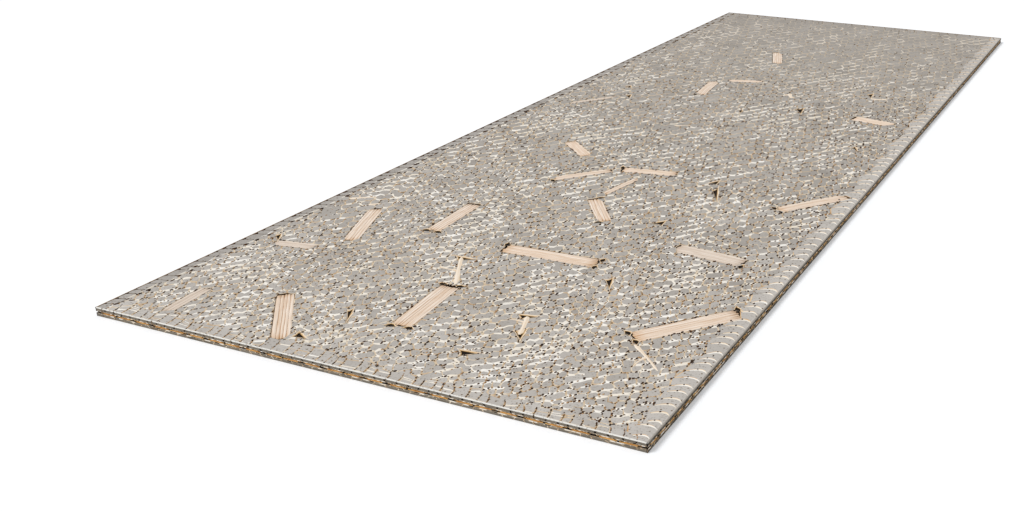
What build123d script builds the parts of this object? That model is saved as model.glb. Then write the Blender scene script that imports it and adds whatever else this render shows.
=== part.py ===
"""Cement-bonded particle board: one pressed sheet of cement and wood particles, with the large wood chips
that lie bare in its top face and the wood strands that show along the middle of its cut edges.

Millimetres. +X runs across the sheet, +Y along its length, +Z up. The origin is the middle of the underside.
"""
from build123d import *
from math import cos, floor, radians, sin
import os

os.makedirs("parts", exist_ok=True)

# The sheet
sheet_width = 1250.0
sheet_length = 3350.0
sheet_thickness = 20.0
arris = 0.8

# The wood chips: bundles of fibres that lie in seats in the top face
fibre_width = 9.0
fibre_side_height = 1.7
fibre_crown_rise = 1.1
fibre_stagger = 6.0
chip_below_face = 0.2
chip_side_clearance = 0.3
chip_end_clearance = 3.0
seat_corner_radius = 1.5

# Each chip: its middle as a share of the sheet's width and length, its length, its width, and its turn
# from the width of the sheet in degrees
wood_chips = {
    "wood_chip_01": (0.297, 0.0370, 211.0, 36.0, -50.0),
    "wood_chip_02": (0.111, 0.0310, 120.0, 27.0, 95.0),
    "wood_chip_03": (0.107, 0.1240, 108.0, 27.0, 10.0),
    "wood_chip_04": (0.156, 0.1740, 205.0, 36.0, 112.0),
    "wood_chip_05": (0.293, 0.2120, 190.0, 36.0, 93.0),
    "wood_chip_06": (0.484, 0.0830, 196.0, 45.0, 96.0),
    "wood_chip_07": (0.563, 0.1790, 240.0, 45.0, 2.0),
    "wood_chip_08": (0.828, 0.2230, 178.0, 45.0, -6.0),
    "wood_chip_09": (0.908, 0.1230, 236.0, 45.0, 49.0),
    "wood_chip_10": (0.534, 0.2680, 160.0, 36.0, -52.0),
    "wood_chip_11": (0.510, 0.3210, 150.0, 18.0, 80.0),
    "wood_chip_12": (0.398, 0.3320, 170.0, 27.0, 49.0),
    "wood_chip_13": (0.523, 0.3606, 158.0, 36.0, 10.0),
    "wood_chip_14": (0.297, 0.3900, 146.0, 36.0, -41.0),
    "wood_chip_15": (0.918, 0.3470, 212.0, 36.0, 51.0),
    "wood_chip_16": (0.870, 0.5770, 142.0, 45.0, -10.0),
    "wood_chip_17": (0.355, 0.6240, 190.0, 36.0, 97.0),
    "wood_chip_18": (0.424, 0.6654, 130.0, 27.0, 18.0),
    "wood_chip_19": (0.126, 0.5330, 180.0, 18.0, 54.0),
    "wood_chip_20": (0.409, 0.7800, 182.0, 36.0, 110.0),
}

# The crevices where the cement did not close round the wood: forked gaps with three sharp ends
crevice_depth = 4.0

# Each crevice: its middle as a share of the sheet's width and length, its length, its width, and its turn
# from the width of the sheet in degrees
crevices = [
    (0.718, 0.1560, 46.0, 14.0, -62.0),
    (0.678, 0.2630, 30.0, 24.0, 70.0),
    (0.659, 0.0940, 36.0, 20.0, 25.0),
    (0.681, 0.0730, 38.0, 20.0, -60.0),
    (0.641, 0.0420, 34.0, 20.0, 20.0),
    (0.391, 0.0540, 46.0, 9.0, -58.0),
    (0.372, 0.0205, 28.0, 18.0, -10.0),
    (0.430, 0.1510, 38.0, 20.0, 15.0),
    (0.684, 0.3590, 32.0, 20.0, 75.0),
    (0.712, 0.3350, 80.0, 14.0, -64.0),
    (0.669, 0.5820, 56.0, 24.0, -68.0),
    (0.797, 0.6650, 48.0, 18.0, -72.0),
    (0.197, 0.5590, 40.0, 16.0, -60.0),
    (0.152, 0.5930, 26.0, 13.0, -50.0),
    (0.054, 0.1300, 36.0, 10.0, -50.0),
    (0.892, 0.4900, 34.0, 9.0, -55.0),
    (0.528, 0.5560, 28.0, 12.0, -70.0),
]

# The open seam along the middle of the cut edges, and the strands that lie in it
seam_height = 4.2
seam_depth = 2.4
seam_below_middle = 0.4
strand_height = 1.7
strand_depth = 2.0
strand_row_gap = 0.5
strand_taper = 15.0
end_strand_pitch = 46.0
end_strand_break = 4.0
end_strand_step = 9.0
side_strand_pitch = 34.0
side_strand_break = 11.0
side_strand_height = 3.0
strand_corner_margin = 8.0

half_width = sheet_width / 2
half_length = sheet_length / 2
seam_middle = sheet_thickness / 2 - seam_below_middle
chip_thickness = fibre_side_height + fibre_crown_rise
seat_floor = sheet_thickness - chip_below_face - chip_thickness


def place(share_across, share_along):
    """Point of the sheet, from its shares of the width and of the length."""
    return (sheet_width * share_across - half_width, sheet_length * share_along - half_length)


def fibre_end(middle, turn, along, across):
    """Plane square to the grain of a chip, with its own X across the grain and its own Y up."""
    grain = Vector(cos(radians(turn)), sin(radians(turn)), 0)
    side = Vector(-sin(radians(turn)), cos(radians(turn)), 0)
    start = Vector(*middle, seat_floor) + grain * along + side * across
    return Plane(origin=start, x_dir=-side, z_dir=-grain)


# The sheet, with the seats of the chips, the crevices and the open seam cut out
with BuildPart() as cement_board:
    Box(sheet_width, sheet_length, sheet_thickness, align=(Align.CENTER, Align.CENTER, Align.MIN))
    chamfer(cement_board.edges(), arris)
    with BuildSketch(Plane.XY.offset(seat_floor)) as seats:
        for share_across, share_along, length, width, turn in wood_chips.values():
            with Locations(place(share_across, share_along)):
                RectangleRounded(
                    length + 2 * chip_end_clearance,
                    width + 2 * chip_side_clearance,
                    seat_corner_radius,
                    rotation=turn,
                )
    extrude(amount=sheet_thickness - seat_floor, mode=Mode.SUBTRACT)
    with BuildSketch(Plane.XY.offset(sheet_thickness - crevice_depth)) as gaps:
        for share_across, share_along, length, width, turn in crevices:
            with Locations(place(share_across, share_along)):
                Polygon(
                    (length / 2, 0),
                    (-length / 10, width / 6),
                    (-length / 2, width / 2),
                    (-length / 4, -width / 12),
                    (-length / 3, -width / 2),
                    (0, -width / 6),
                    rotation=turn,
                    align=None,
                )
    extrude(amount=crevice_depth, mode=Mode.SUBTRACT)
    with BuildSketch(Plane.XY.offset(seam_middle - seam_height / 2)) as seam:
        Rectangle(sheet_width, sheet_length)
        Rectangle(sheet_width - 2 * seam_depth, sheet_length - 2 * seam_depth, mode=Mode.SUBTRACT)
    extrude(amount=seam_height, mode=Mode.SUBTRACT)
cement_board.part.label = "cement_board"
export_step(cement_board.part, "parts/cement_board.step")

# The chips: fibres side by side, each round on top and ending at its own length
for name, (share_across, share_along, length, width, turn) in wood_chips.items():
    middle = place(share_across, share_along)
    fibres = max(1, round(width / fibre_width))
    fibre_pitch = width / fibres
    with BuildPart() as wood_chip:
        for number in range(fibres):
            across = (number - (fibres - 1) / 2) * fibre_pitch
            near_end = fibre_stagger * ((2 * number + 1) % 3) / 2
            far_end = fibre_stagger * ((number + fibres) % 3) / 2
            with BuildSketch(fibre_end(middle, turn, length / 2 - far_end, across)) as fibre_section:
                with BuildLine() as fibre_outline:
                    Polyline(
                        (fibre_pitch / 2, fibre_side_height),
                        (fibre_pitch / 2, 0),
                        (-fibre_pitch / 2, 0),
                        (-fibre_pitch / 2, fibre_side_height),
                    )
                    ThreePointArc(
                        (-fibre_pitch / 2, fibre_side_height),
                        (0, chip_thickness),
                        (fibre_pitch / 2, fibre_side_height),
                    )
                make_face()
            extrude(amount=length - near_end - far_end)
    wood_chip.part.label = name
    export_step(wood_chip.part, f"parts/{name}.step")


def end_strands(name, edge, outward):
    """Two rows of long, broken strands along an end of the sheet, their backs on the wall of the seam."""
    run = sheet_width - 2 * strand_corner_margin
    count = floor(run / end_strand_pitch)
    pitch = run / count
    strand_length = pitch - end_strand_break - end_strand_step
    with BuildPart() as strands:
        wall = Plane(
            origin=(0, edge - outward * seam_depth, seam_middle), x_dir=(-outward, 0, 0), z_dir=(0, outward, 0)
        )
        with BuildSketch(wall) as rows:
            for row in (-1, 1):
                height = row * (strand_height + strand_row_gap) / 2
                middles = [
                    (pitch * (number + 0.5) - run / 2 + end_strand_step * ((number + row) % 3 - 1) / 2, height)
                    for number in range(count)
                ]
                with Locations(*middles):
                    Rectangle(strand_length, strand_height)
        extrude(amount=strand_depth, taper=strand_taper)
    strands.part.label = name
    export_step(strands.part, f"parts/{name}.step")


def side_strands(name, edge, outward):
    """One row of short strands along a side of the sheet, with open gaps between them."""
    run = sheet_length - 2 * strand_corner_margin
    count = floor(run / side_strand_pitch)
    pitch = run / count
    with BuildPart() as strands:
        wall = Plane(
            origin=(edge - outward * seam_depth, 0, seam_middle), x_dir=(0, outward, 0), z_dir=(outward, 0, 0)
        )
        with BuildSketch(wall) as row:
            with GridLocations(pitch, strand_height, count, 1):
                Rectangle(pitch - side_strand_break, side_strand_height)
        extrude(amount=strand_depth, taper=strand_taper)
    strands.part.label = name
    export_step(strands.part, f"parts/{name}.step")


end_strands("strands_front_edge", -half_length, -1)
end_strands("strands_back_edge", half_length, 1)
side_strands("strands_left_edge", -half_width, -1)
side_strands("strands_right_edge", half_width, 1)
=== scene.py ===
"""Looks of a cement-bonded particle board: a pebbled cement face with pale wood chips, and grainy cut edges.

The board lies flat. +X runs across it, +Y along it and +Z up, as in the frame. Meshes are shaped in
millimetres and finished in metres.
"""

import logging
import math
import random
from collections.abc import Callable
from dataclasses import dataclass, field
from enum import Enum, IntEnum

import bmesh
import bpy
from mathutils import Matrix, Vector, noise


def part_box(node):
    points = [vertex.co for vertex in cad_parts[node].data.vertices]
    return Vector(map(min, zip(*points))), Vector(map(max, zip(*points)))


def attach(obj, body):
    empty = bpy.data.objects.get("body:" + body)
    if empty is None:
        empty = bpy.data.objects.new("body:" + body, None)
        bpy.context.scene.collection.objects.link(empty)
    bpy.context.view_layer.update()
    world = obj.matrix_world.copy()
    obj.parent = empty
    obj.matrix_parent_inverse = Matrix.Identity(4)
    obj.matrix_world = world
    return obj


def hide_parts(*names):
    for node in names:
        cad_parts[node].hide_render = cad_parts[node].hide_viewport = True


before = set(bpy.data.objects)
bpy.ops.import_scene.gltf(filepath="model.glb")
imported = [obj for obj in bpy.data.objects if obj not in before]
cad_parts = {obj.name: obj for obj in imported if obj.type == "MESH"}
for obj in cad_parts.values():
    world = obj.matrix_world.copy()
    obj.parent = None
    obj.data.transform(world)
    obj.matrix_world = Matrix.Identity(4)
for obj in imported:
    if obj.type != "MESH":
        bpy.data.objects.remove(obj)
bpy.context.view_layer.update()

MM = 0.001
ROOT = "root"
log = logging.getLogger("board")

# Webs of wood that lie apart from the crevices: start, bend and end from the near left corner, both widths
LOOSE_WEBS = (
    ((120, 690), (128, 700), (142, 706), 11.0, 8.0),
    ((48, 706), (74, 724), (104, 744), 17.0, 5.0),
    ((732, 2132), (744, 2106), (760, 2086), 24.0, 14.0),
    ((1006, 2190), (1034, 2192), (1064, 2200), 18.0, 12.0),
    ((592, 1812), (618, 1822), (650, 1824), 11.0, 4.0),
    ((530, 1630), (556, 1640), (584, 1646), 10.0, 4.0),
    ((527, 510), (560, 452), (600, 384), 9.0, 15.0),
    ((560, 448), (536, 440), (514, 448), 8.0, 3.0),
    ((822, 315), (838, 284), (850, 242), 13.0, 10.0),
    ((836, 290), (812, 296), (790, 290), 8.0, 2.0),
    ((1075, 295), (1118, 262), (1161, 221), 13.0, 4.0),
    ((1118, 262), (1108, 236), (1112, 214), 7.0, 2.0),
)

# Chips whose corners have dark gaps: the end, -1 near or 1 far, and the side, 1 to the left of the grain
END_GAPS = {
    "wood_chip_05": ((-1, 1), (-1, -1)),
    "wood_chip_06": ((-1, 1), (-1, -1), (1, 1), (1, -1)),
    "wood_chip_07": ((1, 1), (1, -1), (-1, 1)),
    "wood_chip_08": ((-1, 1),),
    "wood_chip_09": ((-1, 1), (-1, -1), (1, 1)),
    "wood_chip_10": ((1, -1), (-1, 1)),
    "wood_chip_12": ((-1, -1),),
    "wood_chip_13": ((-1, 1),),
    "wood_chip_15": ((-1, 1), (-1, -1)),
    "wood_chip_17": ((-1, 1),),
}

# Chips that are duller than the rest
DUSTY_CHIPS = ("wood_chip_02", "wood_chip_03", "wood_chip_08", "wood_chip_19")

# Depths under the top of the sheet, in millimetres
CREVICE_DEPTH = 4.0
PEBBLE_DROP = 0.25
SPECK_DROP = 0.5


class Skin(IntEnum):
    """Material slots of a relief sheet, in the order in which a piece carries them."""

    CEMENT = 0
    # Cream: pale fibre and flakes, and on the top face a painted highlight along the cells' raised rims
    RIM = 1
    JOINT = 2
    PIT = 3


class Side(Enum):
    """The four cut edges, as the turn that carries the front edge to each."""

    FRONT = 0
    RIGHT = 90
    BACK = 180
    LEFT = 270

    @property
    def lengthways(self) -> bool:
        """Tell whether the edge runs along the sheet."""
        return self in (Side.LEFT, Side.RIGHT)


# Pitch of the border cells and of the cracks along each edge: millimetres across, even rows along
PITCHES = {Side.FRONT: 24.0, Side.RIGHT: 14.4, Side.BACK: 46.0, Side.LEFT: 14.4}

# Where specks lie on a border's dividing lines, from 0 at the inner end to 1 at the edge
SPECK_SHARES = {
    Side.FRONT: (0.05, 0.24, 0.42, 0.6, 0.78, 0.96),
    Side.RIGHT: (0.0, 0.5),
    Side.LEFT: (0.0, 0.3, 0.97),
    Side.BACK: (0.0, 0.5, 0.97),
}

# The shares of the left border that carry large beads instead of specks
BEAD_SHARES = (0.0, 0.97)


def clamp(value: float, low: float = 0.0, high: float = 1.0) -> float:
    """Keep a value between two limits."""
    return min(max(value, low), high)


def linear(colour: tuple[int, int, int]) -> tuple[float, float, float, float]:
    """Turn a display colour into the linear one that a shader takes.

    Args:
        colour: Red, green and blue from 0 to 255.

    Returns:
        Linear red, green and blue, with an alpha of 1.
    """
    parts = [c / 255 for c in colour]
    return (*[p / 12.92 if p <= 0.04045 else ((p + 0.055) / 1.055) ** 2.4 for p in parts], 1.0)


@dataclass
class Tree:
    """A material's node tree, with short calls to add and join nodes."""

    name: str
    material: bpy.types.Material = field(init=False)

    def __post_init__(self) -> None:
        """Start an empty material with one shader."""
        self.material = bpy.data.materials.new(self.name)
        self.material.use_nodes = True
        self.shader = self.material.node_tree.nodes["Principled BSDF"]

    def add(self, kind: str, **inputs: object) -> bpy.types.Node:
        """Add a node, set its values and feed its sockets.

        Args:
            kind: The node's type without its leading ShaderNode.
            inputs: Socket names, spaces as underscores, or settings of the node. An output is linked.

        Returns:
            The new node.
        """
        node = self.material.node_tree.nodes.new("ShaderNode" + kind)
        for key, value in inputs.items():
            socket = node.inputs.get(key.replace("_", " "))
            if socket is None:
                setattr(node, key, value)
            elif isinstance(value, bpy.types.NodeSocket):
                self.join(value, socket)
            else:
                socket.default_value = value
        return node

    def join(self, source: bpy.types.NodeSocket, target: bpy.types.NodeSocket) -> None:
        """Link one socket to another."""
        self.material.node_tree.links.new(source, target)

    def mix(self, share: object, first: object, second: object) -> bpy.types.NodeSocket:
        """Mix two colours.

        Args:
            share: How much of the second colour shows, as a number or an output.
            first: A colour or an output.
            second: A colour or an output.

        Returns:
            The mixed colour's output.
        """
        node = self.material.node_tree.nodes.new("ShaderNodeMix")
        node.data_type = "RGBA"
        for socket, value in zip((node.inputs[0], node.inputs[6], node.inputs[7]), (share, first, second)):
            if isinstance(value, bpy.types.NodeSocket):
                self.join(value, socket)
            else:
                socket.default_value = value
        return node.outputs[2]

    def step(self, value: bpy.types.NodeSocket, low: float, high: float) -> bpy.types.NodeSocket:
        """Rise from 0 at one value to 1 at another.

        Args:
            value: The output to read.
            low: Where it gives 0.
            high: Where it gives 1.

        Returns:
            The clamped output.
        """
        node = self.add("MapRange", Value=value, From_Min=low, From_Max=high)
        return node.outputs[0]

    def place(self) -> bpy.types.NodeSocket:
        """Give the place on the piece itself, in metres."""
        return self.add("TexCoord").outputs["Object"]

    def grain(self, scale: float, detail: float = 3.0) -> bpy.types.NodeSocket:
        """Read a noise that lies still on the piece.

        Args:
            scale: Features per metre.
            detail: How many finer layers lie on it.

        Returns:
            The noise's value.
        """
        return self.add("TexNoise", Vector=self.place(), Scale=scale, Detail=detail).outputs[0]

    def finish(
        self,
        body: bpy.types.NodeSocket,
        roughness: float,
        shine: float,
        height: bpy.types.NodeSocket,
        strength: float,
        relief: float,
    ) -> bpy.types.Material:
        """Give the shader its colour, its roughness and its fine relief.

        Args:
            body: The colour.
            roughness: How rough the surface is.
            shine: How much it reflects.
            height: The output that the relief follows.
            strength: How strongly the relief shows.
            relief: Height of the relief in metres.

        Returns:
            The finished material.
        """
        self.join(body, self.shader.inputs["Base Color"])
        self.shader.inputs["Roughness"].default_value = roughness
        self.shader.inputs["Specular IOR Level"].default_value = shine
        bump = self.add("Bump", Height=height, Strength=strength, Distance=relief)
        self.join(bump.outputs[0], self.shader.inputs["Normal"])
        return self.material


@dataclass(frozen=True)
class CementFinish:
    """Grey cement: cloudy, with fine dark specks and a dry, rough skin."""

    name: str
    light: tuple[int, int, int]
    dark: tuple[int, int, int]
    speck: tuple[int, int, int] = (150, 143, 134)
    grit: tuple[int, int, int] = (110, 90, 68)
    clouds: float = 9.0
    flecks: float = 240.0
    specks: float = 58.0
    pores: float = 650.0
    roughness: float = 0.86
    shine: float = 0.25
    relief: float = 0.0006

    def material(self) -> bpy.types.Material:
        """Build the material.

        Returns:
            The finished material.
        """
        tree = Tree(self.name)
        tone = tree.add("Attribute", attribute_name="tone").outputs["Fac"]
        cloud = tree.step(tree.grain(self.clouds, 4.0), 0.3, 0.7)
        body = tree.mix(tone, linear(self.dark), linear(self.light))
        body = tree.mix(0.35, body, tree.mix(cloud, linear(self.dark), linear(self.light)))
        fine = tree.step(tree.grain(self.flecks, 2.0), 0.56, 0.74)
        body = tree.mix(fine, body, linear(self.speck))
        cells = tree.add("TexVoronoi", voronoi_dimensions="2D", Vector=tree.place(), Scale=self.specks)
        near = tree.step(cells.outputs["Distance"], 0.13, 0.07)
        shade = tree.add("SeparateColor", Color=cells.outputs["Color"]).outputs[0]
        kept = tree.add("Math", operation="MULTIPLY")
        tree.join(near, kept.inputs[0])
        tree.join(tree.step(shade, 0.35, 0.6), kept.inputs[1])
        body = tree.mix(kept.outputs[0], body, linear(self.grit))
        return tree.finish(body, self.roughness, self.shine, tree.grain(self.pores, 4.0), 0.35, self.relief)


@dataclass(frozen=True)
class MottledFinish:
    """A plain mineral or fibre colour that wanders between two shades, and may turn to another far along."""

    name: str
    light: tuple[int, int, int]
    dark: tuple[int, int, int]
    far: tuple[int, int, int] | None = None
    scale: float = 60.0
    roughness: float = 0.8
    shine: float = 0.25
    relief: float = 0.0004

    def material(self) -> bpy.types.Material:
        """Build the material.

        Returns:
            The finished material.
        """
        tree = Tree(self.name)
        share = tree.step(tree.grain(self.scale), 0.35, 0.65)
        body = tree.mix(share, linear(self.dark), linear(self.light))
        if self.far is not None:
            along = tree.add("SeparateXYZ", Vector=tree.place()).outputs[1]
            body = tree.mix(tree.step(along, -0.2, 1.6), body, linear(self.far))
        return tree.finish(body, self.roughness, self.shine, tree.grain(self.scale * 8), 0.3, self.relief)


@dataclass(frozen=True)
class GrainFinish:
    """Sawn wood: fine streaks that follow the fibre, read from the piece's grain map, and painted shade that
    darkens it below its crown.
    """

    name: str
    light: tuple[int, int, int]
    dark: tuple[int, int, int]
    recess_shade: tuple[int, int, int]
    crown: float = 19.6
    sink: float = 1.5
    streaks: tuple[float, float, float] = (12.0, 210.0, 1.0)
    roughness: float = 0.7
    shine: float = 0.3
    relief: float = 0.0006

    def material(self) -> bpy.types.Material:
        """Build the material.

        Returns:
            The finished material.
        """
        tree = Tree(self.name)
        place = tree.add("UVMap", uv_map="grain").outputs[0]
        along = tree.add("Mapping", Vector=place, Scale=Vector(self.streaks)).outputs[0]
        streak = tree.add("TexNoise", Vector=along, Scale=1.0, Detail=3.0).outputs[0]
        share = tree.step(streak, 0.36, 0.6)
        body = tree.mix(share, linear(self.dark), linear(self.light))
        # Painted shade: below the crown the wood turns towards its darker recess colour, the deeper the more,
        # in grooves, at torn ends and in crevices
        height = tree.add("SeparateXYZ", Vector=tree.place()).outputs[2]
        sunk = tree.step(height, self.crown * MM, (self.crown - self.sink) * MM)
        body = tree.mix(sunk, body, linear(self.recess_shade))
        return tree.finish(body, self.roughness, self.shine, streak, 0.4, self.relief)


@dataclass(frozen=True)
class Sheet:
    """The pressed sheet's real size in millimetres, taken from the frame."""

    width: float
    length: float
    thickness: float
    rows: float = 1218.0
    near: float = 0.6
    rim: float = 1.9

    @staticmethod
    def from_frame() -> "Sheet":
        """Read the board's box.

        Returns:
            The sheet.
        """
        low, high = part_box("cement_board")
        size = (high - low) / MM
        return Sheet(size.x, size.y, size.z)

    def across(self, column: float) -> float:
        """Give the place across the sheet of a line that would stand at an even pitch.

        Args:
            column: Distance from the left edge in millimetres.

        Returns:
            X in millimetres, a little earlier or later.
        """
        return column + 3.5 * math.sin(column / 37) + 2.0 * math.sin(column / 17) - self.width / 2

    def along(self, row: float) -> float:
        """Give the place along the sheet of an even row, which coarsens towards the far end.

        Args:
            row: From 0 at the front edge to rows at the back edge.

        Returns:
            Y in millimetres.
        """
        share = row / self.rows
        return self.length * (self.near * share + (1 - self.near) * share * share) - self.length / 2

    def row_limits(self) -> tuple[float, float]:
        """Give the first and last row of the top face inside its rim."""
        reach = self.length / 2 - self.rim
        return self.row(-reach), self.row(reach)

    def row(self, along: float) -> float:
        """Give the even row of a place along the sheet.

        Args:
            along: Y in millimetres.

        Returns:
            The row, the other way round than along.
        """
        share = along / self.length + 0.5
        rest = 1 - self.near
        return self.rows * (math.sqrt(self.near ** 2 + 4 * rest * share) - self.near) / (2 * rest)


def finish_piece(
    bm: bmesh.types.BMesh,
    name: str,
    materials: list[bpy.types.Material],
    replaces: tuple[str, ...] = ("cement_board",),
) -> bpy.types.Object:
    """Make a piece of a mesh that was shaped in millimetres.

    Args:
        bm: The mesh, which is freed.
        name: The piece's name.
        materials: Its materials, in slot order.
        replaces: CAD nodes that it stands for.

    Returns:
        The piece, riding on the board.
    """
    bmesh.ops.scale(bm, vec=(MM, MM, MM), verts=bm.verts)
    mesh = bpy.data.meshes.new(name)
    bm.to_mesh(mesh)
    bm.free()
    for material in materials:
        mesh.materials.append(material)
    piece = bpy.data.objects.new(name, mesh)
    bpy.context.scene.collection.objects.link(piece)
    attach(piece, ROOT)
    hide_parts(*replaces)
    log.info("%s: %d faces", name, len(mesh.polygons))
    return piece


def closed(place: Vector) -> float:
    """Keep the joint shut at every place."""
    return 0.0


def patchy(place: Vector) -> float:
    """Open the joint here and there, from 0 to 1."""
    return clamp(0.5 + 2.5 * noise.noise(place / 9.0))


@dataclass
class CellRelief:
    """Turns the faces of a flat mesh into raised cells, with joints, white bands and pinholes between them.
    The white bands are pale fibre with a painted highlight on the cells' raised rims.
    """

    top: float = 0.0
    joint_width: float = 1.25
    joint_depth: float = 0.8
    joint_skin: Skin = Skin.JOINT
    lined: float = 0.93
    shoulder_width: float = 1.0
    shoulder_depth: float = 0.3
    far_band: float = 3.2
    near_band: float = 2.0
    band: Callable[[Vector], float] = closed
    row_side: Vector = field(default_factory=lambda: Vector((-0.48, 0.87, 0.0)))
    row_way: Vector = field(default_factory=lambda: Vector((0.8, -0.6, 0.0)))
    uneven: float = 0.2
    pit_sizes: tuple[float, float] = (17.0, 23.0)
    pit_share: float = 0.85
    pit_depth: float = 1.2
    pit_wall: float = 0.25
    unlike: float = 0.35
    facing: float = 0.55
    on_rim: bool = False
    ends_lined: bool = True
    shades: float = 0.5
    fade: tuple[float, float] = (850.0, 1150.0)
    seed: int = 11

    def raise_cells(self, bm: bmesh.types.BMesh, lighten: float = 0.0) -> None:
        """Give every face of the mesh its joint, band, shoulder and pinholes.

        Args:
            bm: A flat mesh in its own XY plane, whose faces are the cells.
            lighten: Added to the shade of every cell.
        """
        draw = random.Random(self.seed)
        tone = bm.faces.layers.float.new("tone")
        for face in bm.faces:
            face.material_index = Skin.CEMENT
            face[tone] = self.shades * draw.random() + lighten
        inner = [v for v in bm.verts if len(v.link_edges) > 2 and not v.is_boundary]
        start, end = self.fade
        inner = [
            v for v in inner
            if draw.random() < self.pit_share * clamp((end - v.co.y) / (end - start))
        ]
        draw.shuffle(inner)
        for size, some in zip(self.pit_sizes, (inner[::2], inner[1::2])):
            made = bmesh.ops.bevel(
                bm, geom=some, affect="VERTICES", offset_type="PERCENT", offset=size,
                segments=1, profile=0.5, material=-1,
            )
            for face in made["faces"]:
                face.material_index = Skin.PIT
        pits = [f for f in bm.faces if f.material_index == Skin.PIT]
        cells = [f for f in bm.faces if f.material_index == Skin.CEMENT]
        for vert in bm.verts:
            vert.co.z = self.top - self.joint_depth
        self.inset(bm, cells, self.joint_width, self.top - self.shoulder_depth, self.unlike)
        for cell in cells:
            self.open_bands(cell, draw.random() < self.lined, tone)
        if self.shoulder_width:
            self.inset(bm, cells, self.shoulder_width, self.top)
            for cell in cells:
                for edge in cell.edges:
                    for ring in edge.link_faces:
                        ring.material_index = Skin.CEMENT
                        ring[tone] = cell[tone]
                        ring.smooth = ring is not cell
        for cell in cells:
            lift = draw.uniform(-self.uneven, 0.0)
            for vert in cell.verts:
                vert.co.z += lift
        self.inset(bm, pits, self.pit_wall, self.top - self.joint_depth - self.pit_depth)
        for pit in pits:
            for edge in pit.edges:
                for wall in edge.link_faces:
                    wall.material_index = Skin.PIT

    def inset(
        self, bm: bmesh.types.BMesh, faces: list, width: float, level: float, vary: float = 0.0
    ) -> None:
        """Draw each face in towards its own middle, which leaves a ring round it.

        Args:
            bm: The mesh.
            faces: The faces to draw in.
            width: Width of the ring.
            level: Height of the face afterwards.
            vary: How much the width differs from face to face, as a share of it.
        """
        draw = random.Random(self.seed)
        bmesh.ops.inset_individual(bm, faces=faces, thickness=0.0)
        for face in faces:
            size = math.sqrt(max(face.calc_area(), 0.01))
            share = max(0.35, 1.0 - 2.1 * width * (1 + draw.uniform(-vary, vary)) / size)
            middle = face.calc_center_median()
            for vert in face.verts:
                vert.co = middle + (vert.co - middle) * share
                vert.co.z = level

    def open_bands(
        self, cell: bmesh.types.BMFace, lined: bool, tone: bmesh.types.BMLayerItem
    ) -> None:
        """Draw the far and near sides of an inset cell back from its joints, and colour the ring round it.

        Args:
            cell: The inset face.
            lined: Whether the closed part of its joint is pale.
            tone: The face layer that holds each cell's shade.
        """
        middle = cell.calc_center_median()
        rises = {v: (v.co - middle).dot(self.row_side) for v in cell.verts}
        most = max(max(rises.values()), 0.01)
        least = min(min(rises.values()), -0.01)
        moves = {v: Vector() for v in cell.verts}
        for edge in cell.edges:
            ring = next(f for f in edge.link_faces if f is not cell)
            outer = [v.co for v in ring.verts if v not in moves]
            place = (outer[0] + outer[-1]) / 2
            run = outer[-1] - outer[0]
            out = Vector((run.y, -run.x, 0.0)).normalized()
            if out.dot(place - middle) < 0:
                out.negate()
            facing = out.dot(self.row_side)
            rim = not self.on_rim and any(v.is_boundary for v in ring.verts)
            shut = rim or (self.on_rim and abs(facing) < self.facing)
            opening = 0.0 if shut else self.band(place)
            bare = abs(facing) < self.facing and not self.ends_lined
            ring.material_index = self.joint_skin if lined and not bare else Skin.CEMENT
            band = self.far_band if facing > 0 else self.near_band
            # Painted highlight: a wide ring that faces along the rows takes the cream colour, as light caught
            # on the cell's raised rim
            if opening * band > 0.6 and abs(facing) > self.facing:
                ring.material_index = Skin.RIM
            ring[tone] = cell[tone]
            ring.smooth = True
            for vert in edge.verts:
                rise = rises[vert]
                if rise > 0:
                    depth = min(self.far_band * opening, 0.75 * most) * min(1.0, rise / (0.5 * most))
                else:
                    depth = -min(self.near_band * opening, -0.6 * least) * min(1.0, rise / (0.5 * least))
                moves[vert] += self.row_way * depth / 2
        for vert, move in moves.items():
            vert.co += move


def join(whole: bmesh.types.BMesh, part: bmesh.types.BMesh) -> None:
    """Add one mesh to another and free it."""
    mesh = bpy.data.meshes.new("part")
    part.to_mesh(mesh)
    part.free()
    whole.from_mesh(mesh)
    bpy.data.meshes.remove(mesh)


def add_skirt(bm: bmesh.types.BMesh, level: float) -> None:
    """Run the open rim of a skin straight down, so that it stands closed on what lies below.

    Args:
        bm: The skin.
        level: Height of the skirt's foot.
    """
    rim = [e for e in bm.edges if e.is_boundary]
    made = bmesh.ops.extrude_edge_only(bm, edges=rim)["geom"]
    for item in made:
        if isinstance(item, bmesh.types.BMVert):
            item.co.z = level
        elif isinstance(item, bmesh.types.BMFace):
            item.material_index = Skin.PIT
            item.smooth = False


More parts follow.
